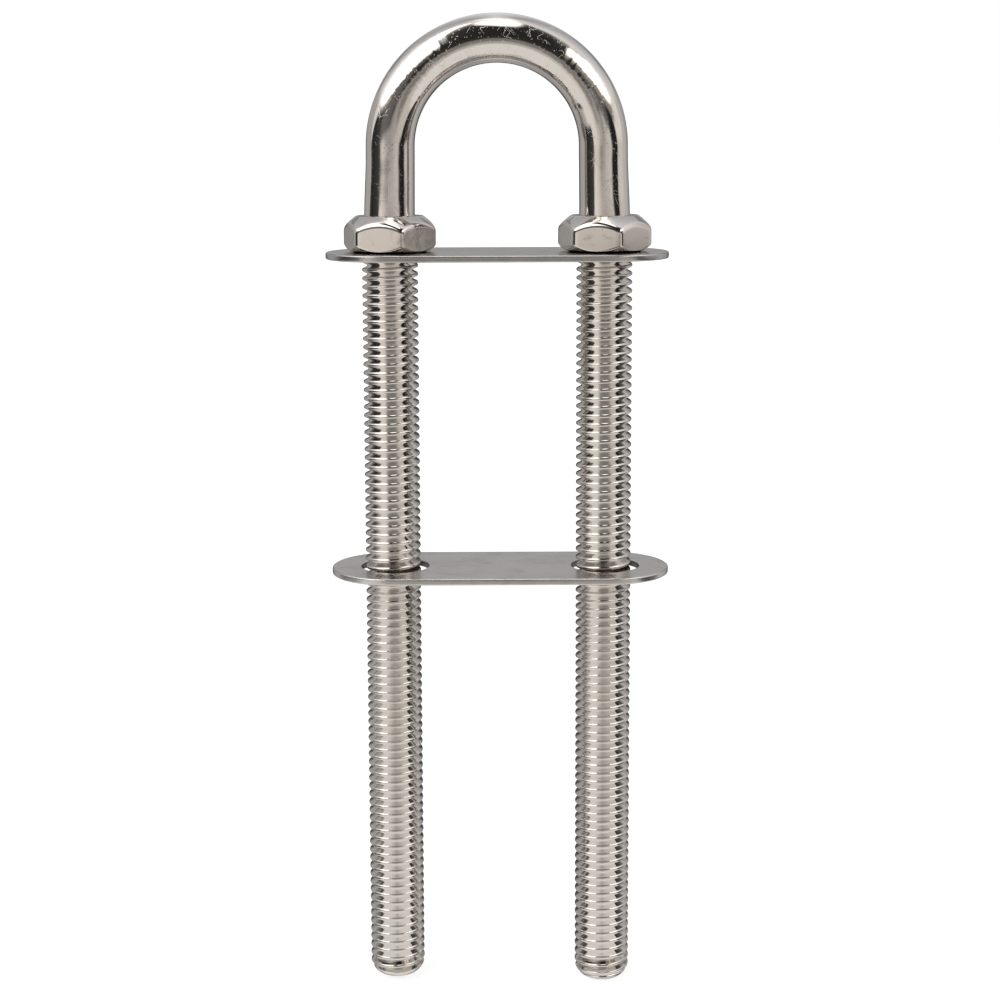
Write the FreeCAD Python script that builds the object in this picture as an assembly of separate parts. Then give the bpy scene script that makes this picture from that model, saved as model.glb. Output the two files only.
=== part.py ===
import FreeCAD, Part
import math
import os

# A bow eye: a bent U-bolt whose two threaded legs go through the hull of a boat, a hull
# plate held by two nuts outside, and a backing plate that slides on the legs inside.
# Millimetres. The origin is the middle of the hull plate's underside, the face that lies
# on the hull. +Z points out of the hull towards the eye, X runs across the two legs and
# Y goes through the eye.

Vector = FreeCAD.Vector

# Thread: half an inch, thirteen turns an inch, flanks at 60 degrees, rolled on to a bar of
# the pitch diameter
thread_major_d = 12.7
thread_pitch = 1.954
thread_fit = 0.03

# U-bolt: legs, and the bow bent from the same bar
leg_spacing = 48.4
leg_below_hull = 169.2
right_leg_extra = 1.0
tip_turns = 1.5
tip_end_d = 9.3
tip_bulge = 0.425
bow_bar_d = 10.95
bow_centre_r = 23.85
bow_centre_height = 25.0

# Hull plate and backing plate, both with full round ends
plate_length = 77.4
plate_width = 28.5
plate_thickness = 1.5
plate_edge_break = 0.25
plate_hole_clearance = 1.35

# Backing plate as it lies on the legs
backing_depth = 72.4
backing_shift = 0.45

# Nuts: jam nuts with a turned, slightly domed top
nut_across_flats = 18.8
nut_height = 8.1
nut_top_rim_d = 14.2
nut_top_slope = 40.0
nut_bottom_rim_d = 18.6
nut_bottom_slope = 42.0
nut_corner_round = 0.4
nut_countersink = 0.45
left_nut_turn = 18.8
right_nut_turn = 17.3

# Dependent sizes
leg_x = leg_spacing / 2
leg_r = thread_major_d / 2
sharp_thread_depth = thread_pitch * math.sqrt(3) / 2
pitch_line_depth = sharp_thread_depth * 3 / 8
bar_r = leg_r - pitch_line_depth
bow_r = bow_bar_d / 2
hole_r = leg_r + plate_hole_clearance
nut_seat = plate_thickness
nut_top = nut_seat + nut_height
nut_bore_r = bar_r + thread_fit
nut_corner_r = nut_across_flats / math.sqrt(3)


def save(node, shape):
    shape.exportStep(os.path.join("parts", node + ".step"))


def turned(outline, x):
    """A solid of revolution about the leg axis at x, from (radius, height) edges that start and end on the axis."""
    solid = Part.Face(Part.Wire(outline)).revolve(Vector(0, 0, 0), Vector(0, 0, 1), 360)
    solid.translate(Vector(x, 0, 0))
    return solid


def at(radius, height):
    return Vector(radius, 0, height)


def lines(*points):
    return [Part.LineSegment(a, b).toShape() for a, b in zip(points, points[1:])]


def bulged(a, b, bulge):
    """An arc from a to b that stands out from the straight line by the bulge, away from the axis."""
    chord = b - a
    outward = Vector(chord.z, 0, -chord.x)
    if outward.x < 0:
        outward = -outward
    middle = (a + b) / 2 + outward / outward.Length * bulge
    return Part.Arc(a, middle, b).toShape()


def bow():
    """Half a ring of round bar, standing on its two ends."""
    section = Part.Circle(Vector(bow_centre_r, 0, bow_centre_height), Vector(0, 0, 1), bow_r)
    face = Part.Face(Part.Wire(section.toShape()))
    return face.revolve(Vector(0, 0, bow_centre_height), Vector(0, -1, 0), 180)


def shank(side):
    """The bar between the bow and the nut, which widens and leans outwards a little."""
    bow_end = Part.Circle(Vector(side * bow_centre_r, 0, bow_centre_height), Vector(0, 0, 1), bow_r)
    nut_end = Part.Circle(Vector(side * leg_x, 0, nut_top), Vector(0, 0, 1), bar_r)
    return Part.makeLoft([Part.Wire(nut_end.toShape()), Part.Wire(bow_end.toShape())], True, True)


def leg(side, end):
    """One leg: bar of the pitch diameter inside the nut, then the full thread down to a rounded tip."""
    tip_top = end + tip_turns * thread_pitch
    tip_edge = at(leg_r, tip_top)
    end_edge = at(tip_end_d / 2, end)
    crest = at(leg_r, nut_seat)
    neck = at(bar_r, nut_seat)
    outline = lines(at(0, end), end_edge)
    outline.append(bulged(end_edge, tip_edge, tip_bulge))
    outline += lines(tip_edge, crest, neck, at(bar_r, nut_top), at(0, nut_top), at(0, end))
    return turned(outline, side * leg_x)


def u_bolt():
    """Bow, shanks and legs, one bent and threaded bar."""
    left = shank(-1).fuse(leg(-1, -leg_below_hull))
    right = shank(1).fuse(leg(1, -leg_below_hull - right_leg_extra))
    return bow().fuse([left, right]).removeSplitter()


def plate(underside, shift):
    """A flat plate with full round ends and a clearance hole round each leg, its edges lightly broken."""
    end_r = plate_width / 2
    end_x = plate_length / 2 - end_r
    body = Part.makeBox(2 * end_x, plate_width, plate_thickness, Vector(-end_x, -end_r, 0))
    ends = [Part.makeCylinder(end_r, plate_thickness, Vector(side * end_x, 0, 0)) for side in (-1, 1)]
    body = body.fuse(ends).removeSplitter()
    rims = [edge for face in body.Faces if abs(face.normalAt(0, 0).z) > 0.99 for edge in face.Edges]
    body = body.makeChamfer(plate_edge_break, rims)
    for side in (-1, 1):
        body = body.cut(Part.makeCylinder(hole_r, plate_thickness, Vector(side * leg_x, 0, 0)))
    body.translate(Vector(shift, 0, underside))
    return body


def hexagon(turn):
    """A six-sided prism with softly rounded corners, a corner turned this many degrees right of the front."""
    corners = []
    for index in range(7):
        angle = math.radians(turn - 90 + 60 * index)
        corners.append(Vector(nut_corner_r * math.cos(angle), nut_corner_r * math.sin(angle), 0))
    prism = Part.Face(Part.makePolygon(corners)).extrude(Vector(0, 0, nut_height))
    upright = [edge for edge in prism.Edges if abs(edge.tangentAt(edge.FirstParameter).z) > 0.99]
    return prism.makeFillet(nut_corner_round, upright)


def nut(side, turn):
    """A jam nut on its leg: hexagon turned to a domed top and a chamfered foot, with a countersunk bore."""
    outside_r = nut_corner_r + 1
    top_drop = (outside_r - nut_top_rim_d / 2) * math.tan(math.radians(nut_top_slope))
    foot_rise = (outside_r - nut_bottom_rim_d / 2) * math.tan(math.radians(nut_bottom_slope))
    foot_rim = at(nut_bottom_rim_d / 2, 0)
    foot_edge = at(outside_r, foot_rise)
    top_edge = at(outside_r, nut_height - top_drop)
    top_rim = at(nut_top_rim_d / 2, nut_height)
    outline = lines(at(0, 0), foot_rim, foot_edge, top_edge, top_rim, at(0, nut_height), at(0, 0))
    body = hexagon(turn).common(turned(outline, 0))

    sunk_r = nut_bore_r + nut_countersink
    bore = Part.makeCylinder(nut_bore_r, nut_height)
    foot_sink = Part.makeCone(sunk_r, nut_bore_r, nut_countersink)
    top_sink = Part.makeCone(nut_bore_r, sunk_r, nut_countersink, Vector(0, 0, nut_height - nut_countersink))
    body = body.cut([bore, foot_sink, top_sink])
    body.translate(Vector(side * leg_x, 0, nut_seat))
    return body


os.makedirs("parts", exist_ok=True)
save("u_bolt", u_bolt())
save("hull_plate", plate(0, 0))
save("backing_plate", plate(-backing_depth, backing_shift))
save("nut_left", nut(-1, left_nut_turn))
save("nut_right", nut(1, right_nut_turn))
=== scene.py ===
import math

import bmesh
import bpy
import numpy as np
from mathutils import Matrix, Vector


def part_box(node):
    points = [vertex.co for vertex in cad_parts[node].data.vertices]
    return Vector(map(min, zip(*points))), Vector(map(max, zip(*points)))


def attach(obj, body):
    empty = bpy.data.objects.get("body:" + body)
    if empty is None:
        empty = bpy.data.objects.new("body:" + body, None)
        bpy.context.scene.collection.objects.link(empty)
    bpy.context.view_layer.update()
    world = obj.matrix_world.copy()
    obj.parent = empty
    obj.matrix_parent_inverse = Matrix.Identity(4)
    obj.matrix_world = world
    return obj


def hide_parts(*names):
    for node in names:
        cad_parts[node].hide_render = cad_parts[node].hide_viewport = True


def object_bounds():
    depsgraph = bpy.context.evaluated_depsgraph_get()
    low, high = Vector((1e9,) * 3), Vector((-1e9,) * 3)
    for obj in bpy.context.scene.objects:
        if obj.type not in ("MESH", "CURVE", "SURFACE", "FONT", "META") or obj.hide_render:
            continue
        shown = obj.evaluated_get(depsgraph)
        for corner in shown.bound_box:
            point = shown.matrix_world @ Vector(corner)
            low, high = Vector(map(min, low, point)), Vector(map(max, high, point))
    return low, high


# A polished bow eye: a bent and threaded bar, two jam nuts, a hull plate and a loose
# backing plate. Metres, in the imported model's frame: +Z towards the eye, X across the legs.

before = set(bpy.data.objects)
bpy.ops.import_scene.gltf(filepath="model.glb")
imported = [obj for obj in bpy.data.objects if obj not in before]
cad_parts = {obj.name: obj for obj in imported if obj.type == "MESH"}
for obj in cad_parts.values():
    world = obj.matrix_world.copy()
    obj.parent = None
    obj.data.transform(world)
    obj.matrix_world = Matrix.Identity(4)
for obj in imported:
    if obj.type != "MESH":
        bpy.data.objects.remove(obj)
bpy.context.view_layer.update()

MM = 0.001

# Bar and thread: how far the flanks lean is in degrees from the leg's axis
LEG_X = 24.2 * MM
BAR_R = 5.715 * MM
PITCH = 1.954 * MM
CREST_R = 6.35 * MM
ROOT_R = 5.2 * MM
CREST_ROUND = 0.46 * MM
ROOT_ROUND = 0.15 * MM
THREAD_LEAN = 64
THREAD_TOP = 1.2 * PITCH
THREAD_FADE = (0.6 * MM, 1.45 * MM)
COLUMNS = 40
SHANK_SEAM = 1.1 * PITCH

# Leg ends
LEFT_END = -169.2 * MM
RIGHT_END = -170.2 * MM
END_R = 4.65 * MM
TIP_HEIGHT = 2.93 * MM
TIP_BULGE = 0.425 * MM
CAP_HOLE_R = 0.5 * MM
CAP_RATE = 2.0
CAP_MIDDLE = (-0.15 * MM, -0.075 * MM)

# Bow, above the nuts
BOW_BAR_R = 5.475 * MM
BOW_CENTRE_R = 23.85 * MM
BOW_CENTRE_Z = 25.0 * MM
SHANK_RINGS = 14
BOW_RINGS = 90

# Nuts
NUT_FLATS = 18.8 * MM
NUT_CORNER_ROUND = 1.3 * MM
NUT_TOP_RIM_R = 7.6 * MM
NUT_TOP_SLOPE = 0.72
NUT_DOME_CURVE = 60.0
NUT_SHOULDER_LENGTH = 1.7 * MM
NUT_SHOULDER_EASE = 1.6
NUT_SHOULDER_STEPS = 14
NUT_FLAT_STEPS = 12
NUT_DOME_STEPS = 6
NUT_FOOT_RIM_R = 9.3 * MM
NUT_FOOT_SLOPE = 0.90
NUT_SEAT_R = 8.1 * MM
NUT_SEAT_LIFT = 0.42 * MM
NUT_BORE_R = 5.745 * MM
NUT_SINK = 0.45 * MM
NUT_EDGE_ROUND = 0.35 * MM
NUT_ROUND_SHARE = 0.45
NUT_TURNS = {"left": 18.8, "right": 17.3}

# Plates
HOLE_R = 7.7 * MM
PLATE_EDGE_ROUND = 0.35 * MM
PLATE_RINGS = 5
PLATE_RING_SPREAD = 1.3
PLATE_EDGE_STEPS = 12
PLATE_END_STEP = 5
BACKING_SHIFT = 0.45 * MM

# Steel colours, in linear red, green and blue. Each darker colour after a clean one serves both stains and
# painted shade in the recesses: thread roots, nut bores, hole walls.
BAR_STEEL = (0.64, 0.595, 0.55)
BAR_STAIN_AND_SHADE = (0.34, 0.31, 0.275)
NUT_STEEL = (0.65, 0.605, 0.56)
NUT_STAIN_AND_SHADE = (0.12, 0.105, 0.09)
OUTER_PLATE_STEEL = (0.54, 0.51, 0.485)
INNER_PLATE_STEEL = (0.65, 0.62, 0.59)
PLATE_STAIN_AND_SHADE = (0.14, 0.125, 0.11)

# Where the finishes' marks set in, each from none to full. The ripples' turn is in radians.
WORN_BOW_Z = (22 * MM, 32 * MM)
RIPPLED_FROM_TOP = ((0.35, 0.6), (1.2, 0.95))
DULL_FLAT = ((-20.8 * MM, -20.4 * MM), (0.0, -8 * MM), (7.6 * MM, 6.6 * MM))

# Burnished thread: how far its normals turn outwards, from how deep under the crest, and
# which crests keep their own: those that face up or down, fewer in front of the low thread
BURNISH = 0.97
BURNISH_FROM = 0.12 * MM
BURNISH_FULL = 0.32 * MM
FACES_UP = (0.06, 0.2)
FACES_DOWN = (-0.2, -0.6)
FAINT_FRONT = (0.36, 0.14)
FAINT_CRESTS = (-55 * MM, -90 * MM)
TIP_CLEAR = -165.5 * MM

# Camera, as the photograph was taken
CAMERA_AT = (0.0, -449.5 * MM, 32.9 * MM)
CAMERA_TILT = 81.2
CAMERA_ROLL = -0.205
CAMERA_LENS = 71.67
CAMERA_SHIFT = (0.00224, -0.08143)

# Studio
EYE_CENTRE_Z = 30 * MM
PANEL_STEP = 2
PANEL_ROWS = 24
SOFTBOX_GLOW = 2.5
DIFFUSE_SKY = 0.45
FLOOR_REACH = 8.0
FLOOR_GAP = 0.3 * MM
FLOOR_GLOW = (0.72, 0.88)
FLOOR_FADE = (0.2, 1.2)
COOL = (0.96, 0.975, 1.05)
WARM = (1.08, 0.97, 0.86)
SOFT_WARM = (1.03, 0.985, 0.94)


# Pieces


def into_scene(name, data):
    """A new object in the scene, for a mesh or a camera."""
    made = bpy.data.objects.new(name, data)
    bpy.context.scene.collection.objects.link(made)
    return made


def piece_from(name, shell, mesh):
    """A new object whose mesh is this shell, with its faces turned outwards and shaded smooth."""
    bmesh.ops.recalc_face_normals(shell, faces=shell.faces)
    shell.to_mesh(mesh)
    shell.free()
    mesh.shade_smooth()
    return into_scene(name, mesh)


def mesh_piece(name, vertices, faces):
    """A new object from points and faces."""
    mesh = bpy.data.meshes.new(name)
    mesh.from_pydata(vertices, [], faces)
    shell = bmesh.new()
    shell.from_mesh(mesh)
    return piece_from(name, shell, mesh)


def true_flats(piece):
    """Lets the large faces set the shading, so that flats and flanks look straight."""
    modifier = piece.modifiers.new("true_flats", "WEIGHTED_NORMAL")
    modifier.weight = 80
    modifier.keep_sharp = False


def ease(t):
    """From 0 to 1 with a level start and end."""
    t = min(max(t, 0.0), 1.0)
    return t * t * (3 - 2 * t)


# Bar


def thread_turn():
    """One turn of the rolled thread as (radius, drop) points, from one crest's middle to the next."""
    half = []
    for share in (0, 0.33, 0.67, 1):
        lean = math.radians(THREAD_LEAN * share)
        half.append((CREST_R - CREST_ROUND * (1 - math.cos(lean)), CREST_ROUND * math.sin(lean)))
    flank_r, flank_drop = half[-1]
    steepest = math.radians(THREAD_LEAN)
    root_lift = ROOT_ROUND * (1 - math.cos(steepest))
    root_drop = flank_drop + (flank_r - ROOT_R - root_lift) / math.tan(steepest)
    for share in (1, 0.5, 0):
        lean = math.radians(THREAD_LEAN * share)
        turned = ROOT_ROUND * (math.sin(steepest) - math.sin(lean))
        half.append((ROOT_R + ROOT_ROUND * (1 - math.cos(lean)), root_drop + turned))
    mirrored = [(radius, PITCH - drop) for radius, drop in reversed(half[1:])]
    return half + mirrored


def tip_radius(above_end):
    """The rounded tip's radius at a height above the leg's end: an arc from end face to full leg."""
    if above_end >= TIP_HEIGHT:
        return CREST_R
    width = CREST_R - END_R
    chord = math.hypot(width, TIP_HEIGHT)
    arc_r = (chord * chord / 4 + TIP_BULGE * TIP_BULGE) / (2 * TIP_BULGE)
    back = (arc_r - TIP_BULGE) / chord
    centre_r = (END_R + CREST_R) / 2 - TIP_HEIGHT * back
    centre_z = TIP_HEIGHT / 2 + width * back
    return centre_r + math.sqrt(arc_r * arc_r - (above_end - centre_z) ** 2)


def leg_point(side, end, radius, height, angle):
    """A point of the leg's skin, faded to plain bar at the top and folded over on to the end face."""
    low, high = THREAD_FADE
    radius += (BAR_R - radius) * ease((height - low) / (high - low))
    above_end = height - end
    if above_end < 0:
        radius = max(min(radius, END_R) + above_end * CAP_RATE, CAP_HOLE_R)
        height = end
    else:
        radius = min(radius, tip_radius(above_end))
    return (side * LEG_X + radius * math.cos(angle), radius * math.sin(angle), height)


def thread_lattice(side, end):
    """Points and faces of one leg's threaded skin, and each point's number by its (row, column).

    The lattice climbs with the thread: each column of points stands a little higher than the
    one before it, so that after a full turn it meets itself one pitch up."""
    turn = thread_turn()
    steps = len(turn)
    cap_drop = (END_R - CAP_HOLE_R) / CAP_RATE
    rows = int((THREAD_TOP - end + cap_drop) / PITCH * steps) + steps
    points = []
    index = {}
    for column in range(COLUMNS):
        angle = 2 * math.pi * column / COLUMNS
        climb = PITCH * column / COLUMNS
        for row in range(-steps if column == 0 else 0, rows + 1):
            radius, drop = turn[row % steps]
            height = THREAD_TOP - PITCH * (row // steps) - drop + climb
            index[row, column] = len(points)
            points.append(leg_point(side, end, radius, height, angle))

    faces = []
    for row in range(rows):
        for column in range(COLUMNS - 1):
            a, b = index[row, column], index[row + 1, column]
            c, d = index[row + 1, column + 1], index[row, column + 1]
            faces.append((a, b, c, d))
        a, b = index[row, COLUMNS - 1], index[row + 1, COLUMNS - 1]
        c, d = index[row + 1 - steps, 0], index[row - steps, 0]
        faces.append((a, b, c, d))
    return points, faces, index


def leg_skin(side, end):
    """Points and faces of one threaded leg, and the level ring at its top that the shank starts from."""
    points, faces, index = thread_lattice(side, end)
    steps = len(thread_turn())
    rows = max(index)[0]

    # The climbing top edge up to the level ring
    ring = []
    for column in range(COLUMNS):
        angle = 2 * math.pi * column / COLUMNS
        across, depth = BAR_R * math.cos(angle), BAR_R * math.sin(angle)
        ring.append(len(points))
        points.append((side * LEG_X + across, depth, THREAD_TOP + SHANK_SEAM))
    for column in range(1, COLUMNS - 1):
        faces.append((index[0, column], index[0, column + 1], ring[column + 1], ring[column]))
    faces.append((index[0, COLUMNS - 1], index[-steps, 0], ring[0], ring[COLUMNS - 1]))
    rim = [ring[0]] + [index[row, 0] for row in range(-steps, 1)] + [index[0, 1]]
    faces += [(ring[1], a, b) for a, b in zip(rim, rim[1:])]

    # The small hole left in the end face
    middle = len(points)
    points.append((side * LEG_X + CAP_MIDDLE[0], CAP_MIDDLE[1], end))
    rim = [index[rows, column] for column in range(COLUMNS)]
    rim += [index[row, 0] for row in range(rows - steps, rows + 1)]
    faces += [(middle, a, b) for a, b in zip(rim, rim[1:])]
    return points, faces, ring


def bow_line():
    """The centreline of shanks and bow, from left nut to right nut, as (x, z, lean, bar radius)."""
    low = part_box("nut_left")[1].z - PITCH
    left = []
    for ring in range(SHANK_RINGS):
        t = ring / SHANK_RINGS
        share = ease(t)
        x = LEG_X + (BOW_CENTRE_R - LEG_X) * share
        left.append((x, low + (BOW_CENTRE_Z - low) * t, BAR_R + (BOW_BAR_R - BAR_R) * share))
    line = [(-x, z, 0.0, radius) for x, z, radius in left]
    for ring in range(BOW_RINGS + 1):
        lean = math.pi * ring / BOW_RINGS
        x = -BOW_CENTRE_R * math.cos(lean)
        line.append((x, BOW_CENTRE_Z + BOW_CENTRE_R * math.sin(lean), lean, BOW_BAR_R))
    return line + [(x, z, math.pi, radius) for x, z, radius in reversed(left)]


def make_bar():
    """The whole bar as one closed skin: left leg, left shank, bow, right shank, right leg."""
    points, faces, left_ring = leg_skin(-1, LEFT_END)
    right_points, right_faces, right_ring = leg_skin(1, RIGHT_END)
    shift = len(points)
    points += right_points
    faces += [tuple(i + shift for i in face) for face in right_faces]

    last = left_ring
    for x, z, lean, radius in bow_line():
        ring = []
        for column in range(COLUMNS):
            angle = 2 * math.pi * column / COLUMNS
            across, depth = radius * math.cos(angle), radius * math.sin(angle)
            ring.append(len(points))
            points.append((x + across * math.cos(lean), depth, z - across * math.sin(lean)))
        faces += [(last[i - 1], last[i], ring[i], ring[i - 1]) for i in range(COLUMNS)]
        last = ring
    end_ring = [right_ring[(COLUMNS // 2 - i) % COLUMNS] + shift for i in range(COLUMNS)]
    faces += [(last[i - 1], last[i], end_ring[i], end_ring[i - 1]) for i in range(COLUMNS)]

    bar = mesh_piece("bent_bar", points, faces)
    true_flats(bar)
    return bar


# Nuts


def rounded(corners, radii, steps=4):
    """A (radius, height) line with its corners rounded off by these radii, each in as many steps."""
    line = []
    for i, (corner, radius) in enumerate(zip(corners, radii)):
        if radius == 0:
            line.append(corner)
            continue
        here = Vector(corner)
        before, after = Vector(corners[i - 1]) - here, Vector(corners[i + 1]) - here
        half = before.angle(after) / 2
        reach = min(radius / math.tan(half), NUT_ROUND_SHARE * min(before.length, after.length))
        start, end = here + before.normalized() * reach, here + after.normalized() * reach
        for step in range(steps + 1):
            t = step / steps
            point = start * (1 - t) ** 2 + here * (2 * t * (1 - t)) + end * t**2
            line.append((point.x, point.y))
    return line


def corner_point(reach, facing, lean):
    """A point on one rounded corner of the nut, where its skin leans this far from the way it faces."""
    x = reach * math.cos(facing) + NUT_CORNER_ROUND * math.cos(facing + lean)
    y = reach * math.sin(facing) + NUT_CORNER_ROUND * math.sin(facing + lean)
    return x, y


def hexagon_outline(turn):
    """Points round a hexagon with rounded corners, one of them this many degrees right of the front."""
    outline = []
    reach = (NUT_FLATS / 2 - NUT_CORNER_ROUND) / math.cos(math.radians(30))
    for index in range(6):
        facing = math.radians(turn - 90 + 60 * index)
        for lean in (-30, -15, 0, 15, 30):
            outline.append(corner_point(reach, facing, math.radians(lean)))
        x0, y0 = outline[-1]
        x1, y1 = corner_point(reach, facing + math.radians(60), math.radians(-30))
        for step in range(1, NUT_FLAT_STEPS):
            t = step / NUT_FLAT_STEPS
            outline.append((x0 + (x1 - x0) * t, y0 + (y1 - y0) * t))
    return outline


def dome_drop(radius):
    """How far the domed top has fallen at this radius, and its slope there."""
    out = radius - NUT_TOP_RIM_R
    return NUT_TOP_SLOPE * out + NUT_DOME_CURVE * out * out, NUT_TOP_SLOPE + 2 * NUT_DOME_CURVE * out


def shoulder_curve(facing):
    """The nut's shoulder as (inward, upward) points: along the wall at first, then turning in faster."""
    inward, upward = 0.0, 0.0
    points = [(inward, upward)]
    length = NUT_SHOULDER_LENGTH / NUT_SHOULDER_STEPS
    for step in range(NUT_SHOULDER_STEPS):
        t = facing * ((step + 0.5) / NUT_SHOULDER_STEPS) ** NUT_SHOULDER_EASE
        inward += length * math.sin(t)
        upward += length * math.cos(t)
        points.append((inward, upward))
    return points


def nut_section(reach, height):
    """The nut's section towards a point of its outline, from the bore's foot round to the bore's top."""

    # Where the shoulder meets the dome sets how far it turns, so both settle over a few rounds
    start_r = reach
    for _ in range(6):
        shoulder = shoulder_curve(math.pi / 2 - math.atan(dome_drop(start_r)[1]))
        start_r = reach - shoulder[-1][0]

    base = height - dome_drop(start_r)[0] - shoulder[-1][1]
    top = [(reach - inward, base + upward) for inward, upward in shoulder]
    for step in range(1, NUT_DOME_STEPS):
        radius = start_r + (NUT_TOP_RIM_R - start_r) * step / NUT_DOME_STEPS
        top.append((radius, height - dome_drop(radius)[0]))

    foot_rise = NUT_SEAT_LIFT + (reach - NUT_FOOT_RIM_R) * NUT_FOOT_SLOPE
    sunk_r = NUT_BORE_R + NUT_SINK
    step_r = NUT_SEAT_R + NUT_SEAT_LIFT
    corners = [(NUT_BORE_R, NUT_SINK), (sunk_r, 0), (NUT_SEAT_R, 0), (step_r, NUT_SEAT_LIFT)]
    corners += [(NUT_FOOT_RIM_R, NUT_SEAT_LIFT), (reach, foot_rise)]
    corners += top + [(NUT_TOP_RIM_R, height), (sunk_r, height), (NUT_BORE_R, height - NUT_SINK)]
    radii = [0, 0, 0, 0, NUT_EDGE_ROUND / 3, 2 * NUT_EDGE_ROUND]
    radii += [0] * len(top) + [NUT_EDGE_ROUND, NUT_EDGE_ROUND / 3, 0]
    return rounded(corners, radii)


def make_nut(side_name, side):
    """A jam nut on its leg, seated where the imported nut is."""
    low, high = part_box("nut_" + side_name)
    points = []
    outline = hexagon_outline(NUT_TURNS[side_name])
    for x, y in outline:
        reach = math.hypot(x, y)
        section = nut_section(reach, high.z - low.z)
        points += [(side * LEG_X + x / reach * r, y / reach * r, low.z + z) for r, z in section]
    count = len(section)
    faces = []
    for column in range(len(outline)):
        here, following = column * count, (column + 1) % len(outline) * count
        for i in range(count):
            j = (i + 1) % count
            faces.append((here + i, following + i, following + j, here + j))
    nut = mesh_piece(side_name + "_jam_nut", points, faces)
    true_flats(nut)
    return nut


# Plates


def half_plate_rim(half_length, half_width):
    """Points round a plate's right half: front edge, full round end, back edge, and down the middle."""
    end_x = half_length - half_width
    steps = PLATE_EDGE_STEPS
    rim = [(end_x * i / steps, -half_width) for i in range(steps)]
    for facing in range(-90, 91, PLATE_END_STEP):
        t = math.radians(facing)
        rim.append((end_x + half_width * math.cos(t), half_width * math.sin(t)))
    rim += [(end_x * i / steps, half_width) for i in range(steps - 1, -1, -1)]
    rim += [(0, half_width * (1 - 2 * i / steps)) for i in range(1, steps)]
    return rim


def make_plate(name, node):
    """A flat plate with full round ends and a clearance hole round each leg, with softly rolled edges."""
    low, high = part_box(node)
    centre_x = (low.x + high.x) / 2
    shell = bmesh.new()
    rim = half_plate_rim((high.x - low.x) / 2, (high.y - low.y) / 2)
    shares = [(i / PLATE_RINGS) ** PLATE_RING_SPREAD for i in range(PLATE_RINGS + 1)]
    for side in (-1, 1):
        columns = []
        for x, y in rim:
            away = Vector((x - LEG_X, y))
            hole = away.normalized() * HOLE_R
            spots = [hole.lerp(away, share) for share in shares]
            columns.append([shell.verts.new((centre_x + side * (LEG_X + p.x), p.y, low.z)) for p in spots])
        for a, b in zip(columns, columns[1:] + columns[:1]):
            for i in range(PLATE_RINGS):
                shell.faces.new((a[i], a[i + 1], b[i + 1], b[i]))
    bmesh.ops.remove_doubles(shell, verts=shell.verts, dist=MM / 1000)
    raised = bmesh.ops.extrude_face_region(shell, geom=list(shell.faces), use_keep_orig=True)
    moved = [part for part in raised["geom"] if isinstance(part, bmesh.types.BMVert)]
    bmesh.ops.translate(shell, verts=moved, vec=(0, 0, high.z - low.z))
    plate = piece_from(name, shell, bpy.data.meshes.new(name))
    edge = plate.modifiers.new("rolled_edge", "BEVEL")
    edge.width = PLATE_EDGE_ROUND
    edge.segments = 4
    edge.limit_method = "ANGLE"
    edge.angle_limit = math.radians(50)
    true_flats(plate)
    return plate


# Finishes


def add(tree, kind, inputs=(), **settings):
    """A node of this kind with its settings, its inputs given as plain values or other nodes' outputs."""
    made = tree.nodes.new(kind)
    for name, value in settings.items():
        setattr(made, name, value)
    for name, value in dict(inputs).items():
        if isinstance(value, bpy.types.NodeSocket):
            tree.links.new(value, made.inputs[name])
        else:
            made.inputs[name].default_value = value
    return made


def maths(tree, operation, *values):
    """One step of arithmetic on numbers that change over the surface."""
    return add(tree, "ShaderNodeMath", enumerate(values), operation=operation).outputs[0]


def vector_maths(tree, operation, *vectors):
    """One step of arithmetic on vectors. Its outputs are Vector and, for a length, Value."""
    return add(tree, "ShaderNodeVectorMath", enumerate(vectors), operation=operation).outputs


def times(tree, a, b):
    """One value times the other."""
    return maths(tree, "MULTIPLY", a, b)


def more(tree, value, by, rest):
    """The value times a factor, plus the rest."""
    return maths(tree, "MULTIPLY_ADD", value, by, rest)


def larger(tree, a, b):
    """The larger of two values."""
    return maths(tree, "MAXIMUM", a, b)


def ramp(tree, value, low, high):
    """0 where the value is at low and 1 where it is at high, eased between."""
    span = {"Value": value, "From Min": low, "From Max": high}
    return add(tree, "ShaderNodeMapRange", span, interpolation_type="SMOOTHSTEP").outputs["Result"]


def split(tree, vector):
    """The vector's three parts, as outputs X, Y and Z."""
    return add(tree, "ShaderNodeSeparateXYZ", {"Vector": vector}).outputs


def noise(tree, spot, **inputs):
    """Soft noise around 0.5. Its Scale is in waves to a metre where the spot is in metres."""
    return add(tree, "ShaderNodeTexNoise", {"Vector": spot, **inputs}).outputs[0]


def scattered(tree, spot, scale, share):
    """Cells all over the surface, a random lot for each, and 1 in the share of them that has a mark."""
    cells = add(tree, "ShaderNodeTexVoronoi", {"Vector": spot, "Scale": scale}).outputs
    lot = add(tree, "ShaderNodeSeparateColor", {"Color": cells["Color"]}).outputs
    return cells, lot, maths(tree, "LESS_THAN", lot["Red"], share)


def effect(name, inputs, output):
    """An empty node group with these named inputs and this output, and its two end nodes."""
    tree = bpy.data.node_groups.new(name, "ShaderNodeTree")
    for label, way in [(label, "INPUT") for label in inputs] + [(output, "OUTPUT")]:
        kind = "NodeSocketVector" if label in ("Vector", "Direction") else "NodeSocketFloat"
        tree.interface.new_socket(label, in_out=way, socket_type=kind)
    return tree, tree.nodes.new("NodeGroupInput").outputs, tree.nodes.new("NodeGroupOutput").inputs


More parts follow.
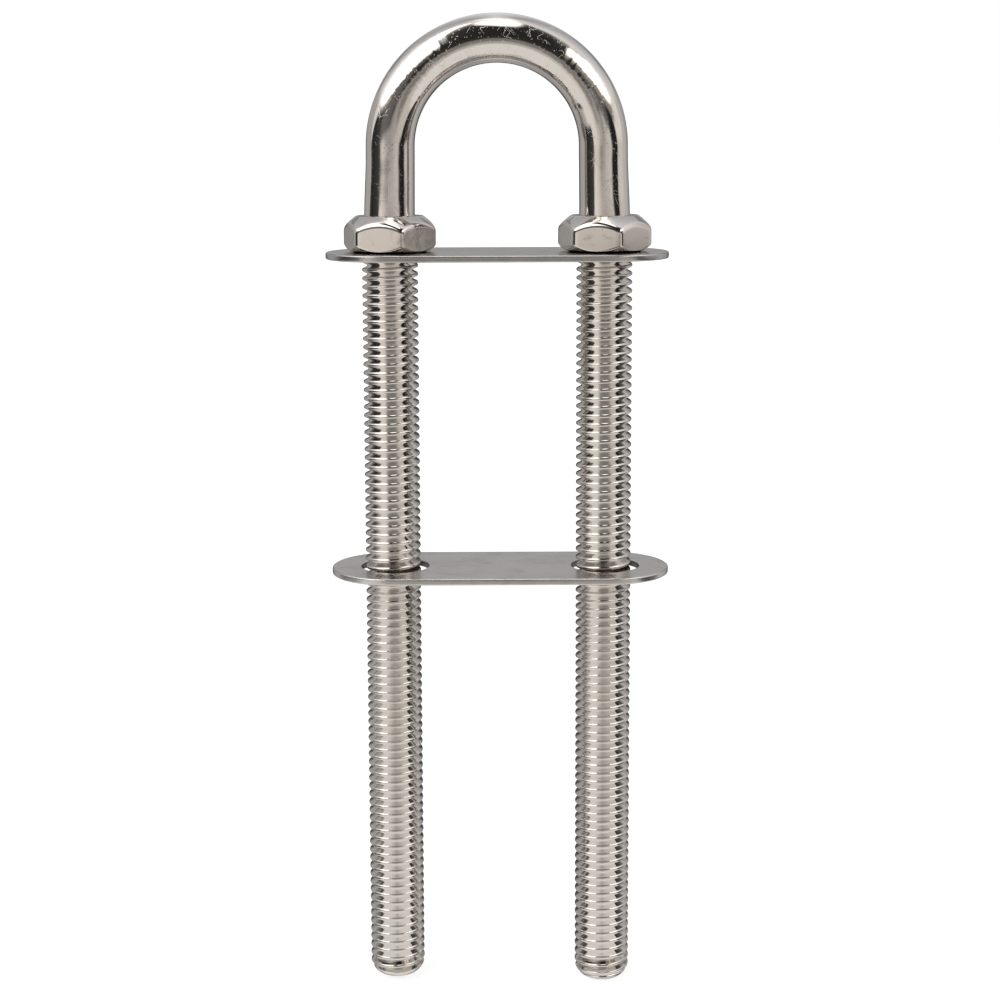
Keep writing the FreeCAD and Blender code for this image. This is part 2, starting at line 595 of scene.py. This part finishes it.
def pits_effect():
    """Small round dents of mixed size, as knocks leave in polish. Depth is 1 in a dent's middle."""
    tree, given, result = effect("small_pits", ("Vector", "Per metre", "Share"), "Depth")
    cells, lot, chosen = scattered(tree, given["Vector"], given["Per metre"], given["Share"])
    smallest, spread = 0.1, 0.22
    dent_r = more(tree, lot["Green"], spread, smallest)
    dent = ramp(tree, cells["Distance"], dent_r, 0.0)
    tree.links.new(times(tree, dent, chosen), result["Depth"])
    return tree


def long_scratches_effect():
    """Fine drawn-out scratches, where a stretched noise crosses its middle, only in a few patches."""
    tree, given, result = effect("long_scratches", ("Vector", "Per metre", "Start"), "Depth")
    stretch = (0.14, 1.0, 1.0)
    half_width = 0.006
    depth = 0.0
    for turn, seed in ((0.6, 0.0), (-0.9, 3.1), (2.1, 7.7)):
        lie = {"Location": (seed, seed, 0), "Rotation": (turn, turn * 1.7, turn * 0.4)}
        turned = add(tree, "ShaderNodeMapping", {"Vector": given["Vector"], **lie}).outputs[0]
        drawn = vector_maths(tree, "MULTIPLY", turned, stretch)["Vector"]
        line = noise(tree, drawn, Scale=given["Per metre"], Detail=0.0)
        off_line = maths(tree, "ABSOLUTE", maths(tree, "SUBTRACT", line, 0.5))
        thin = ramp(tree, off_line, half_width, 0.0)
        patch = noise(tree, turned, Scale=330.0, Detail=0.0)
        kept = ramp(tree, maths(tree, "SUBTRACT", patch, given["Start"]), 0.0, 0.05)
        depth = larger(tree, depth, times(tree, thin, kept))
    tree.links.new(depth, result["Depth"])
    return tree


def scratches_effect():
    """Short scratches, one to a cell and each its own way, in a share of the cells. Depth is 1 inside."""
    tree, given, result = effect("short_scratches", ("Vector", "Per metre", "Share"), "Depth")
    half_width, half_length = (0.045, 0.02), (0.6, 0.4)
    size = {0: given["Vector"], "Scale": given["Per metre"]}
    scaled = add(tree, "ShaderNodeVectorMath", size, operation="SCALE").outputs["Vector"]
    bend = add(tree, "ShaderNodeTexNoise", {"Vector": scaled, "Scale": 0.9, "Detail": 1.0})
    spot = vector_maths(tree, "MULTIPLY_ADD", bend.outputs["Color"], (0.5, 0.5, 0.5), scaled)["Vector"]
    cells, _, chosen = scattered(tree, spot, 1.0, given["Share"])
    aim = vector_maths(tree, "SUBTRACT", cells["Color"], (0.5, 0.5, 0.5))["Vector"]
    along = vector_maths(tree, "NORMALIZE", aim)["Vector"]
    offset = vector_maths(tree, "SUBTRACT", spot, cells["Position"])["Vector"]
    aside = vector_maths(tree, "CROSS_PRODUCT", offset, along)["Vector"]
    off_line = vector_maths(tree, "LENGTH", aside)["Value"]
    thin = ramp(tree, off_line, *half_width)
    kept = ramp(tree, cells["Distance"], *half_length)
    tree.links.new(times(tree, times(tree, thin, kept), chosen), result["Depth"])
    return tree


def from_leg_effect():
    """How far a point is from the nearer leg's axis, in metres."""
    tree, given, result = effect("distance_from_leg", ("Vector",), "Distance")
    parts = split(tree, given["Vector"])
    across = maths(tree, "SUBTRACT", maths(tree, "ABSOLUTE", parts["X"]), LEG_X)
    offset = add(tree, "ShaderNodeCombineXYZ", {"X": across, "Y": parts["Y"]}).outputs[0]
    tree.links.new(vector_maths(tree, "LENGTH", offset)["Value"], result["Distance"])
    return tree


def out_from_leg_effect():
    """The direction straight out from the nearer leg's axis, in the world as normals are."""
    tree, given, result = effect("out_from_leg", ("Vector",), "Direction")
    parts = split(tree, given["Vector"])
    axis_x = times(tree, maths(tree, "SIGN", parts["X"]), LEG_X)
    across = maths(tree, "SUBTRACT", parts["X"], axis_x)
    offset = add(tree, "ShaderNodeCombineXYZ", {"X": across, "Y": parts["Y"]}).outputs[0]
    turn = {"vector_type": "VECTOR", "convert_from": "OBJECT", "convert_to": "WORLD"}
    turned = add(tree, "ShaderNodeVectorTransform", {"Vector": offset}, **turn).outputs[0]
    tree.links.new(vector_maths(tree, "NORMALIZE", turned)["Vector"], result["Direction"])
    return tree


def mottle_effect():
    """Soft cloudy stains, from 0 in clean metal to 1 in the darkest stain."""
    tree, given, result = effect("soft_mottle", ("Vector", "Per metre", "Start"), "Stain")
    kind = {"Detail": 5.0, "Roughness": 0.62, "Distortion": 0.4}
    cloud = noise(tree, given["Vector"], Scale=given["Per metre"], **kind)
    full = 0.78
    tree.links.new(ramp(tree, cloud, given["Start"], full), result["Stain"])
    return tree


def grain_effect():
    """Fine lines drawn out along X by grinding, from 0 to 1 around 0.5."""
    tree, given, result = effect("drawn_grain", ("Vector", "Per metre"), "Line")
    stretch = (0.03, 1.0, 1.0)
    drawn = vector_maths(tree, "MULTIPLY", given["Vector"], stretch)["Vector"]
    line = noise(tree, drawn, Scale=given["Per metre"], Detail=3.0, Roughness=0.6)
    tree.links.new(line, result["Line"])
    return tree


PITS = pits_effect()
LONG_SCRATCHES = long_scratches_effect()
SCRATCHES = scratches_effect()
MOTTLE = mottle_effect()
GRAIN = grain_effect()
FROM_LEG = from_leg_effect()
OUT_FROM_LEG = out_from_leg_effect()


def place(tree, group, **inputs):
    """What a shared effect puts out for these values. Underscores stand for spaces in inputs' names."""
    named = {name.replace("_", " "): value for name, value in inputs.items()}
    return add(tree, "ShaderNodeGroup", named, node_tree=group).outputs[0]


def new_material(name):
    """A new material, with its nodes, its shader and the piece's own coordinates."""
    material = bpy.data.materials.new(name)
    material.use_nodes = True
    tree = material.node_tree
    spot = tree.nodes.new("ShaderNodeTexCoord").outputs["Object"]
    return material, tree, tree.nodes["Principled BSDF"], spot


def steel(name):
    """A new metal material, with its nodes, its shader and the piece's own coordinates."""
    material, tree, shader, spot = new_material(name)
    shader.inputs["Metallic"].default_value = 1.0
    return material, tree, shader, spot


def two_tone(tree, share, clean, marked):
    """A colour that goes from the clean metal's to the darker colour of stains and painted shade as the
    share goes from 0 to 1.
    """
    tones = {0: share, 6: (*clean, 1), 7: (*marked, 1)}
    return add(tree, "ShaderNodeMix", tones, data_type="RGBA").outputs[2]


def surface(tree, shader, colour, roughness, height, relief, **under):
    """Sets a metal's colour and roughness, and a bump of its height times the relief, in metres.

    The bump stands on the piece's own normal, or on the Normal that is given with it."""
    bump = add(tree, "ShaderNodeBump", {"Height": height, "Strength": 1.0, "Distance": relief, **under})
    tree.links.new(colour, shader.inputs["Base Color"])
    tree.links.new(roughness, shader.inputs["Roughness"])
    tree.links.new(bump.outputs["Normal"], shader.inputs["Normal"])


def bow_marks(tree, spot, parts, above_nuts):
    """Pits and scratches in patches, most of them on the bow's top and fewer down the shanks."""
    pits = place(tree, PITS, Vector=spot, Per_metre=1300.0, Share=0.8)
    short_cuts = place(tree, SCRATCHES, Vector=spot, Per_metre=700.0, Share=0.9)
    long_cuts = place(tree, LONG_SCRATCHES, Vector=spot, Per_metre=520.0, Start=0.58)
    marks = larger(tree, pits, larger(tree, short_cuts, long_cuts))
    worn = more(tree, ramp(tree, parts["Z"], *WORN_BOW_Z), 0.65, 0.35)
    marks = times(tree, marks, times(tree, worn, above_nuts))
    patches = noise(tree, spot, Scale=130.0, Detail=1.0)
    return times(tree, marks, ramp(tree, patches, 0.28, 0.52))


def bend_ripples(tree, parts, above_nuts):
    """Faint ripples across the bar, left by bending on both shoulders of the bow."""
    height = more(tree, parts["Z"], 1.0, -BOW_CENTRE_Z)
    lean = maths(tree, "ARCTAN2", parts["X"], height)
    from_top = maths(tree, "ABSOLUTE", lean)
    begun, ended = RIPPLED_FROM_TOP
    rippled = times(tree, ramp(tree, from_top, *begun), ramp(tree, from_top, *ended))
    along = times(tree, lean, BOW_CENTRE_R)
    across = times(tree, parts["Y"], 0.3)
    arc = add(tree, "ShaderNodeCombineXYZ", {"X": along, "Y": across, "Z": 0.0}).outputs[0]
    ripple = noise(tree, arc, Scale=560.0, Detail=1.5)
    return times(tree, ripple, times(tree, rippled, above_nuts))


def burnished_normal(tree, spot, parts, from_axis, threaded):
    """The normal to shade with: in the thread nearly straight out from the leg, as burnished steel glints.

    The crests' edges keep much of their own, fainter in front of the low thread, and so do the tips."""
    own = tree.nodes.new("ShaderNodeNewGeometry").outputs["Normal"]
    tilt = split(tree, own)["Z"]
    crisp = more(tree, ramp(tree, tilt, *FACES_DOWN), 0.4, ramp(tree, tilt, *FACES_UP))
    crisp = times(tree, crisp, ramp(tree, from_axis, CREST_R - BURNISH_FULL, CREST_R - BURNISH_FROM))
    outward = place(tree, OUT_FROM_LEG, Vector=spot)
    sideways = maths(tree, "ABSOLUTE", split(tree, outward)["X"])
    faint = times(tree, ramp(tree, sideways, *FAINT_FRONT), ramp(tree, parts["Z"], *FAINT_CRESTS))
    crisp = more(tree, times(tree, crisp, faint), -0.75, crisp)
    burnished = more(tree, times(tree, crisp, threaded), -1.0, threaded)
    burnished = times(tree, burnished, ramp(tree, parts["Z"], TIP_CLEAR, TIP_CLEAR + MM))
    turned = {0: times(tree, burnished, BURNISH), 4: own, 5: outward}
    facing = add(tree, "ShaderNodeMix", turned, data_type="VECTOR").outputs[1]
    return vector_maths(tree, "NORMALIZE", facing)["Vector"]


def polished_bar_steel():
    """Bright steel: marked on the bow, rippled where it was bent, with painted shade darkening the
    thread's roots.
    """
    material, tree, shader, spot = steel("polished_bar_steel")
    parts = split(tree, spot)
    above_nuts = ramp(tree, parts["Z"], 0.0, 2 * MM)
    threaded = maths(tree, "SUBTRACT", 1.0, above_nuts)
    from_axis = place(tree, FROM_LEG, Vector=spot)
    # Painted shade: the colour darkens towards the thread's roots, as if shaded down in them.
    root_painted_shade = times(tree, ramp(tree, from_axis, CREST_R - 0.3 * MM, ROOT_R), threaded)

    stain = place(tree, MOTTLE, Vector=spot, Per_metre=260.0, Start=0.5)
    # The darker share mixes real stains with the painted shade in the thread's roots.
    dark = larger(tree, times(tree, root_painted_shade, 0.12), times(tree, stain, 0.1))
    colour = two_tone(tree, dark, BAR_STEEL, BAR_STAIN_AND_SHADE)
    marks = bow_marks(tree, spot, parts, above_nuts)
    roughness = more(tree, marks, 0.5, more(tree, stain, 0.04, 0.06))

    waves = noise(tree, spot, Scale=170.0, Detail=1.0)
    skin = times(tree, waves, times(tree, above_nuts, 2.2))
    skin = more(tree, bend_ripples(tree, parts, above_nuts), 4.0, skin)
    skin = more(tree, marks, -0.6, skin)
    normal = burnished_normal(tree, spot, parts, from_axis, threaded)
    surface(tree, shader, colour, roughness, skin, 0.02 * MM, Normal=normal)
    return material


def polished_nut_steel():
    """Bright turned steel: faint stains, one duller flat, and painted shade where the bar comes through.
    """
    material, tree, shader, spot = steel("polished_nut_steel")
    parts = split(tree, spot)
    stain = place(tree, MOTTLE, Vector=spot, Per_metre=330.0, Start=0.54)
    from_axis = place(tree, FROM_LEG, Vector=spot)
    # Painted shade: the colour turns nearly black in the sunk rim round the bore, where the bar comes
    # through.
    bore_painted_shade = ramp(tree, from_axis, NUT_BORE_R + NUT_SINK, NUT_BORE_R + NUT_SINK * 0.6)
    left, right, top = DULL_FLAT
    dull_flat = times(tree, ramp(tree, parts["X"], *left), ramp(tree, parts["X"], *right))
    dull_flat = times(tree, dull_flat, ramp(tree, parts["Z"], *top))
    cloud = place(tree, MOTTLE, Vector=spot, Per_metre=520.0, Start=0.36)
    faint = more(tree, times(tree, cloud, dull_flat), 0.5, times(tree, stain, 0.35))
    colour = two_tone(tree, larger(tree, faint, bore_painted_shade), NUT_STEEL, NUT_STAIN_AND_SHADE)
    roughness = more(tree, dull_flat, 0.34, more(tree, stain, 0.1, 0.05))
    pits = place(tree, PITS, Vector=spot, Per_metre=900.0, Share=0.1)
    waves = noise(tree, spot, Scale=190.0, Detail=1.0)
    skin = maths(tree, "SUBTRACT", waves, pits)
    surface(tree, shader, colour, roughness, skin, 0.015 * MM)
    return material


def satin_plate_steel(name, shift, clean):
    """Sheet steel ground along its length, with soft stains and painted shade on the walls of its holes.
    """
    material, tree, shader, spot = steel(name)
    stain = place(tree, MOTTLE, Vector=spot, Per_metre=150.0, Start=0.42)
    line = place(tree, GRAIN, Vector=spot, Per_metre=5000.0)
    centred = vector_maths(tree, "ADD", spot, (-shift, 0, 0))["Vector"]
    from_axis = place(tree, FROM_LEG, Vector=centred)
    # Painted shade: the colour darkens on the walls of the holes round the legs.
    hole_wall_painted_shade = ramp(tree, from_axis, HOLE_R + 0.25 * MM, HOLE_R + 0.05 * MM)
    share = larger(tree, more(tree, stain, 0.25, times(tree, line, 0.2)), hole_wall_painted_shade)
    colour = two_tone(tree, share, clean, PLATE_STAIN_AND_SHADE)
    surface(tree, shader, colour, more(tree, line, 0.12, 0.18), line, 0.004 * MM)
    return material


def fit(piece, material, body, node):
    """Gives a piece its finish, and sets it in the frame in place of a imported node."""
    piece.data.materials.append(material)
    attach(piece, body)
    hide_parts(node)


# Studio


def seen_share(tree):
    """1 for rays that show the surroundings: from the camera, off metal, through glass. 0 for the rest."""
    path = tree.nodes.new("ShaderNodeLightPath").outputs
    seen = larger(tree, path["Is Camera Ray"], path["Is Glossy Ray"])
    return larger(tree, seen, path["Is Transmission Ray"])


def make_world():
    """White all round where it is seen, and softer where it only lights."""
    world = bpy.data.worlds.new("white_room")
    bpy.context.scene.world = world
    world.use_nodes = True
    tree = world.node_tree
    sky = tree.nodes["Background"]
    sky.inputs["Color"].default_value = (1, 1, 1, 1)
    tree.links.new(more(tree, seen_share(tree), 1 - DIFFUSE_SKY, DIFFUSE_SKY), sky.inputs["Strength"])


def make_floor():
    """A pale floor under the legs, white to the eye and still taking the shadow."""
    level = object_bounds()[0].z - FLOOR_GAP
    ways = ((-1, -1), (1, -1), (1, 1), (-1, 1))
    corners = [(x * FLOOR_REACH, y * FLOOR_REACH, level) for x, y in ways]
    floor = mesh_piece("floor", corners, [(0, 1, 2, 3)])
    material, tree, shader, spot = new_material("pale_floor")
    shader.inputs["Base Color"].default_value = (0.5, 0.5, 0.5, 1)
    shader.inputs["Roughness"].default_value = 1.0
    shader.inputs["Specular IOR Level"].default_value = 0.0
    shader.inputs["Emission Color"].default_value = (1, 1, 1, 1)
    away = vector_maths(tree, "LENGTH", spot)["Value"]
    near, far = FLOOR_GLOW
    glow = more(tree, ramp(tree, away, *FLOOR_FADE), far - near, near)
    tree.links.new(times(tree, seen_share(tree), glow), shader.inputs["Emission Strength"])
    floor.data.materials.append(material)
    floor.visible_glossy = False


def panel_mesh(name, stops, distance, feather):
    """A curved panel round the eye, with its cover and its radiance kept at each point."""
    given = np.array(stops, float)
    first, last = given[0, 0], given[-1, 0]
    azimuths = np.linspace(first, last, int((last - first) / PANEL_STEP) + 2)
    low, high, cover, radiance = (np.interp(azimuths, given[:, 0], given[:, i]) for i in range(1, 5))
    points, covers, glows = [], [], []
    for column, azimuth in enumerate(np.radians(azimuths)):
        span = high[column] - low[column]
        for row in range(PANEL_ROWS + 1):
            height = span * row / PANEL_ROWS
            elevation = math.radians(low[column] + height)
            level = math.cos(elevation) * distance
            x, y = level * math.sin(azimuth), -level * math.cos(azimuth)
            points.append((x, y, EYE_CENTRE_Z + math.sin(elevation) * distance))
            covers.append(cover[column] * ease(min(height, span - height) / feather))
            glows.append(radiance[column])
    step = PANEL_ROWS + 1
    faces = []
    for column in range(len(azimuths) - 1):
        for a in range(column * step, column * step + PANEL_ROWS):
            faces.append((a, a + step, a + step + 1, a + 1))
    mesh = bpy.data.meshes.new(name)
    mesh.from_pydata(points, [], faces)
    mesh.attributes.new("cover", "FLOAT", "POINT").data.foreach_set("value", covers)
    mesh.attributes.new("glow", "FLOAT", "POINT").data.foreach_set("value", glows)
    return mesh


def panel_finish(name, tint, lights):
    """A plain glow of this tint where the panel covers, and clear where it does not."""
    material = bpy.data.materials.new(name)
    material.use_nodes = True
    tree = material.node_tree
    tree.nodes.remove(tree.nodes["Principled BSDF"])
    solid = add(tree, "ShaderNodeAttribute", attribute_name="cover").outputs["Fac"]
    bright = add(tree, "ShaderNodeAttribute", attribute_name="glow").outputs["Fac"]
    glow = add(tree, "ShaderNodeEmission", {"Color": (*tint, 1), "Strength": bright}).outputs[0]
    clear = tree.nodes.new("ShaderNodeBsdfTransparent").outputs[0]
    mixed = add(tree, "ShaderNodeMixShader", {0: solid, 1: clear, 2: glow}).outputs[0]
    tree.links.new(mixed, tree.nodes["Material Output"].inputs["Surface"])
    if not lights:
        material.cycles.emission_sampling = "NONE"
    return material


def studio_panel(name, stops, distance, tint=(1, 1, 1), feather=5.0, lights=False):
    """A curved card or softbox round the eye, with soft edges, seen only in reflections.

    Each stop is (azimuth, lower edge, upper edge, cover, radiance), in degrees. Azimuth 0 is
    towards the camera and grows towards +X. Cover 0 is clear and 1 is solid. One that lights
    also lights the floor, which no panel shades."""
    mesh = panel_mesh(name, stops, distance, feather)
    mesh.materials.append(panel_finish(name, tint, lights))
    panel = into_scene(name, mesh)
    panel.visible_camera = False
    panel.visible_diffuse = lights
    panel.visible_shadow = False


def make_walls():
    """The grey room behind and beside the object, lighter above than below."""
    studio_panel(
        "wall_below",
        [
            (94, -30, 26, 0.0, 0.6),
            (104, -42, 26, 1.0, 0.66),
            (116, -48, 26, 1.0, 0.68),
            (128, -60, 26, 1.0, 0.52),
            (150, -66, 26, 1.0, 0.4),
            (180, -68, 26, 1.0, 0.5),
            (210, -66, 26, 1.0, 0.45),
            (232, -60, 26, 1.0, 0.5),
            (244, -48, 26, 1.0, 0.56),
            (256, -42, 26, 1.0, 0.5),
            (266, -30, 26, 0.0, 0.5),
        ],
        1.7,
        feather=9.0,
    )
    studio_panel(
        "wall_above",
        [
            (84, 18, 80, 0.0, 1.1),
            (100, 18, 80, 1.0, 0.9),
            (126, 18, 80, 1.0, 0.7),
            (146, 18, 80, 1.0, 0.55),
            (158, 18, 80, 1.0, 0.55),
            (170, 18, 80, 1.0, 0.8),
            (180, 18, 80, 1.0, 1.0),
            (190, 18, 80, 1.0, 0.8),
            (202, 18, 80, 1.0, 0.6),
            (214, 18, 80, 1.0, 0.55),
            (236, 18, 80, 1.0, 0.65),
            (258, 18, 80, 1.0, 0.85),
            (272, 18, 80, 0.0, 1.15),
        ],
        1.6,
        tint=COOL,
        feather=10.0,
    )


def make_dark_horizon():
    """A low dark strip behind the object, which draws the dark outline round every polished shape."""
    studio_panel(
        "dark_horizon",
        [
            (140, -26, 7, 0.0, 0.2),
            (154, -30, 7.6, 0.9, 0.05),
            (206, -30, 7.6, 0.9, 0.05),
            (220, -26, 7, 0.0, 0.2),
        ],
        1.65,
        feather=8.0,
    )


def make_rear_shades():
    """A soft shade behind to each side, which darkens the nuts' domes towards their shoulders."""
    spread = ((-20, 0.0), (-9, 0.8), (9, 0.8), (20, 0.0))
    for name, middle in (("right_rear_shade", 148), ("left_rear_shade", 212)):
        stops = [(middle + aside, 12, 34, cover, 0.22) for aside, cover in spread]
        studio_panel(name, stops, 1.58, feather=8.0)


def make_zenith():
    """The pale ceiling straight above and behind, where the top light does not reach."""
    studio_panel(
        "zenith",
        [(70, 78, 97, 0.0, 1.6), (90, 77, 97, 1.0, 1.6), (270, 77, 97, 1.0, 1.6), (292, 78, 97, 0.0, 1.6)],
        1.55,
        feather=6.0,
    )


def make_room_in_front():
    """The grey and beige room behind the camera, with the dark round of the lens before it."""
    studio_panel(
        "front_grey",
        [
            (-50, -26, 5, 0.0, 0.95),
            (-38, -28, 5, 1.0, 1.0),
            (-26, -29, 5, 1.0, 0.86),
            (-13, -30, 5, 1.0, 0.66),
            (0, -32, 5, 1.0, 0.54),
            (12, -30, 5, 1.0, 0.58),
            (26, -29, 5, 1.0, 0.66),
            (44, -28, 5, 1.0, 0.75),
            (64, -27, 5, 1.0, 0.72),
            (96, -26, 5, 1.0, 0.74),
            (110, -26, 5, 0.0, 0.7),
        ],
        1.5,
        tint=SOFT_WARM,
        feather=8.0,
    )
    studio_panel(
        "below_lens",
        [
            (-30, -17, -4, 0.0, 0.1),
            (-17, -19, -2.5, 0.6, 0.1),
            (20, -19, -2.5, 0.6, 0.1),
            (34, -17, -4, 0.0, 0.1),
        ],
        1.46,
        feather=5.0,
    )
    studio_panel(
        "lens",
        [
            (-17, -3, 14, 0.0, 0.04),
            (-10, -5, 18, 1.0, 0.04),
            (10, -5, 18, 1.0, 0.04),
            (17, -3, 14, 0.0, 0.04),
        ],
        0.2,
        feather=10.0,
    )
    studio_panel(
        "left_beige",
        [(-64, 8, 21, 0.0, 0.4), (-54, 6, 21, 1.0, 0.4), (-12, 6, 22, 1.0, 0.5), (-6, 8, 21, 0.0, 0.4)],
        1.45,
        tint=WARM,
    )
    studio_panel(
        "right_beige",
        [(6, 8, 21, 0.0, 0.4), (14, 6, 22, 1.0, 0.45), (60, 6, 20, 1.0, 0.3), (74, 8, 20, 0.0, 0.4)],
        1.45,
        tint=WARM,
    )


def make_wedge():
    """The dark wedge above the lens that widens upwards, between the two softboxes."""
    studio_panel(
        "wedge",
        [
            (-54, 66, 78, 0.0, 0.3),
            (-44, 54, 77, 0.7, 0.3),
            (-36, 48, 74, 0.9, 0.15),
            (-30, 43, 72, 1.0, 0.08),
            (-24, 37, 70, 1.0, 0.05),
            (-18, 27, 67, 1.0, 0.04),
            (-12, 13, 63, 1.0, 0.04),
            (-8, 5, 60, 1.0, 0.03),
            (-4, 0, 58, 1.0, 0.03),
            (0, -2, 56, 1.0, 0.03),
            (4, 0, 55, 1.0, 0.03),
            (9, 5, 56, 1.0, 0.03),
            (13, 9, 58, 1.0, 0.03),
            (18, 16, 62, 1.0, 0.03),
            (24, 23, 66, 1.0, 0.03),
            (30, 30, 70, 1.0, 0.04),
            (38, 36, 73, 1.0, 0.06),
            (46, 40, 76, 1.0, 0.1),
            (56, 43, 78, 0.8, 0.2),
            (66, 45, 62, 0.5, 0.4),
            (76, 48, 60, 0.0, 0.4),
        ],
        1.4,
        feather=7.0,
    )


def make_side_bars():
    """The dark low bars to the left and to the right, under the softboxes."""
    studio_panel(
        "left_bar",
        [
            (-124, -18, -6, 0.0, 0.3),
            (-112, -18, -5, 0.7, 0.2),
            (-103, -18, -3, 1.0, 0.12),
            (-94, -17, 5, 1.0, 0.06),
            (-84, -16, 13, 1.0, 0.03),
            (-76, -15, 17, 1.0, 0.04),
            (-66, -14, 17, 1.0, 0.05),
            (-58, -14, 16, 1.0, 0.06),
            (-52, -12, 15, 1.0, 0.08),
            (-47.5, -3.5, 15, 1.0, 0.14),
            (-43, -2, 15, 1.0, 0.2),
            (-32, -1, 17, 1.0, 0.2),
            (-16, -2, 19, 1.0, 0.16),
            (-6, -2, 20, 1.0, 0.09),
            (-2, 0, 20, 0.0, 0.05),
        ],
        1.42,
        feather=4.0,
    )
    studio_panel(
        "left_low_bar",
        [
            (-124, -29, -21, 0.0, 0.1),
            (-108, -33, -24, 1.0, 0.08),
            (-84, -32, -24, 1.0, 0.08),
            (-72, -29, -22, 1.0, 0.08),
            (-60, -26, -20, 0.0, 0.1),
        ],
        1.43,
        feather=3.0,
    )
    studio_panel(
        "left_low_grey",
        [
            (-116, -27, -9, 0.0, 0.2),
            (-104, -28, -9, 0.6, 0.2),
            (-78, -28, -9, 0.6, 0.2),
            (-60, -26, -9, 0.0, 0.2),
        ],
        1.44,
        feather=5.0,
    )
    studio_panel(
        "right_bar",
        [
            (2, 1, 14, 0.0, 0.1),
            (6, 0, 14, 0.9, 0.1),
            (16, 0, 13, 0.9, 0.12),
            (30, 1, 13, 0.95, 0.1),
            (38, -2, 14.5, 1.0, 0.03),
            (46, -5, 14.5, 1.0, 0.02),
            (54, -8, 12, 1.0, 0.03),
            (60, -14, 8, 1.0, 0.02),
            (67, -25, 3, 1.0, 0.02),
            (74, -36, -1, 1.0, 0.06),
            (84, -39, -3, 1.0, 0.1),
            (98, -39, -3, 1.0, 0.14),
            (112, -36, -5, 0.0, 0.3),
        ],
        1.42,
        feather=4.0,
    )


def make_softboxes():
    """A tall softbox to the left, a low one to the right and a top light, which also light the floor."""
    full = SOFTBOX_GLOW
    studio_panel(
        "left_softbox",
        [
            (-116, 22, 50, 0.0, 1.2),
            (-102, 19, 56, 0.6, 1.3),
            (-90, 18, 62, 0.85, 1.5),
            (-80, 17, 72, 1.0, full),
            (-72, 15.5, 78, 1.0, full),
            (-58, 15, 78, 1.0, full),
            (-50, 15, 66, 1.0, full),
            (-42, 15, 57, 1.0, full),
            (-34, 15.5, 49, 1.0, full),
            (-28, 16, 42, 1.0, full),
            (-21, 18, 35, 0.9, full),
            (-15, 20, 30, 0.0, full),
        ],
        1.3,
        feather=3.0,
        lights=True,
    )
    studio_panel(
        "right_softbox",
        [
            (22, 20, 28, 0.0, full),
            (29, 18, 33, 0.9, full),
            (36, 16, 39, 1.0, full),
            (44, 16, 45, 1.0, full),
            (56, 16, 46, 1.0, full),
            (68, 17, 44, 1.0, full),
            (78, 19, 42, 0.7, 1.6),
            (92, 20, 42, 0.0, 1.3),
        ],
        1.3,
        feather=3.0,
        lights=True,
    )
    studio_panel(
        "top_light",
        [
            (-60, 78, 90, 0.0, full),
            (-46, 74, 90, 1.0, full),
            (-30, 68, 90, 1.0, full),
            (-18, 62, 90, 1.0, full),
            (-6, 55, 90, 1.0, full),
            (6, 51, 90, 1.0, full),
            (18, 58, 90, 1.0, full),
            (30, 65, 90, 1.0, full),
            (44, 70, 90, 1.0, full),
            (62, 75, 90, 0.8, full),
            (80, 76, 90, 0.0, full),
        ],
        1.3,
        feather=8.0,
        lights=True,
    )


def make_camera():
    """The photograph's own view: nearly level, a little from above."""
    data = bpy.data.cameras.new("photo_view")
    data.lens = CAMERA_LENS
    data.sensor_width = 36
    data.shift_x, data.shift_y = CAMERA_SHIFT
    data.clip_start = 0.02
    data.clip_end = 20
    camera = into_scene("photo_view", data)
    tilt = Matrix.Rotation(math.radians(CAMERA_TILT), 4, "X")
    roll = Matrix.Rotation(math.radians(CAMERA_ROLL), 4, "Z")
    camera.matrix_world = Matrix.Translation(CAMERA_AT) @ tilt @ roll
    bpy.context.scene.camera = camera


make_camera()

fit(make_bar(), polished_bar_steel(), "eye", "u_bolt")
nut_steel = polished_nut_steel()
for side_name, side in (("left", -1), ("right", 1)):
    fit(make_nut(side_name, side), nut_steel, "eye", "nut_" + side_name)
outer_steel = satin_plate_steel("outer_plate_steel", 0.0, OUTER_PLATE_STEEL)
fit(make_plate("outer_plate", "hull_plate"), outer_steel, "eye", "hull_plate")
inner_steel = satin_plate_steel("inner_plate_steel", BACKING_SHIFT, INNER_PLATE_STEEL)
fit(make_plate("inner_plate", "backing_plate"), inner_steel, "backing", "backing_plate")

make_world()
make_floor()
make_walls()
make_dark_horizon()
make_rear_shades()
make_zenith()
make_room_in_front()
make_wedge()
make_side_bars()
make_softboxes()
bpy.context.scene.view_settings.view_transform = "Standard"
